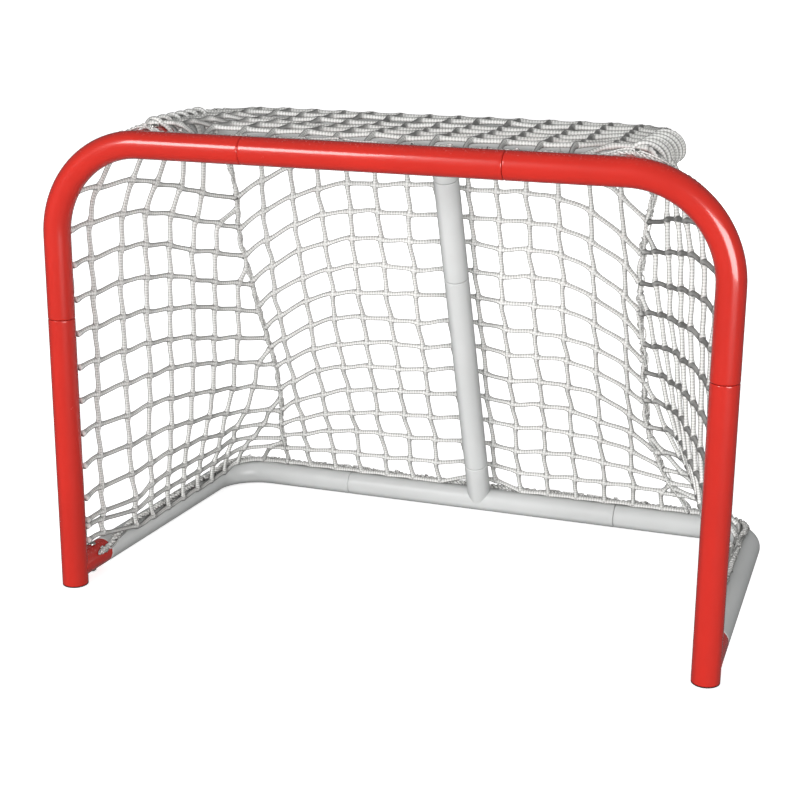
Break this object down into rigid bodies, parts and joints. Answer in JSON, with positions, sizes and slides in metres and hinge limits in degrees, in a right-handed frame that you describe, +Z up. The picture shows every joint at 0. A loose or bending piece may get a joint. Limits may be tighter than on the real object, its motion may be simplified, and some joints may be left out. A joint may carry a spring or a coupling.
{
  "type": "street hockey goal",
  "caption": "Street hockey goal with a bent steel tube frame, raked centre support, top shelf and laced square-mesh rope net.",
  "frame": {"origin": "on the floor, below the middle of the goal's bounding box", "axes": "+X along the crossbar, mouth facing -Y, +Z up"},
  "size_m": [0.9144, 0.5261, 0.6407],
  "materials": {
    "red_enamel": "gloss",
    "grey_enamel": "gloss",
    "black_plastic": "satin",
    "zinc_plate": "satin",
    "white_cord": "matte"
  },
  "bodies": {
    "root": {"post_left": "red_enamel", "post_right": "red_enamel", "top_corner_left": "red_enamel", "top_corner_right": "red_enamel", "crossbar": "red_enamel", "base_corner_left": "grey_enamel", "base_corner_right": "grey_enamel", "base_back": "grey_enamel", "shelf_corner_left": "grey_enamel", "shelf_corner_right": "grey_enamel", "shelf_back": "grey_enamel", "support_lower": "grey_enamel", "support_upper": "grey_enamel", "foot_plug_left": "black_plastic", "foot_plug_right": "black_plastic", "bolt_lower_left": "zinc_plate", "bolt_lower_right": "zinc_plate", "bolt_upper_left": "zinc_plate", "bolt_upper_right": "zinc_plate", "nut_lower_left": "zinc_plate", "nut_lower_right": "zinc_plate", "nut_upper_left": "zinc_plate", "nut_upper_right": "zinc_plate", "clip_post_left_1": "zinc_plate", "clip_post_left_2": "zinc_plate", "clip_post_right_1": "zinc_plate", "clip_post_right_2": "zinc_plate", "clip_base_left_1": "zinc_plate", "clip_base_left_2": "zinc_plate", "clip_base_right_1": "zinc_plate", "clip_base_right_2": "zinc_plate", "clip_crossbar_1": "zinc_plate", "clip_crossbar_2": "zinc_plate", "clip_back_1": "zinc_plate", "clip_back_2": "zinc_plate", "net_back": "white_cord", "net_top": "white_cord", "net_left": "white_cord", "net_right": "white_cord", "seam_cord_left": "white_cord", "seam_cord_right": "white_cord", "front_rope": "white_cord", "base_rope": "white_cord"}
  },
  "joints": []
}
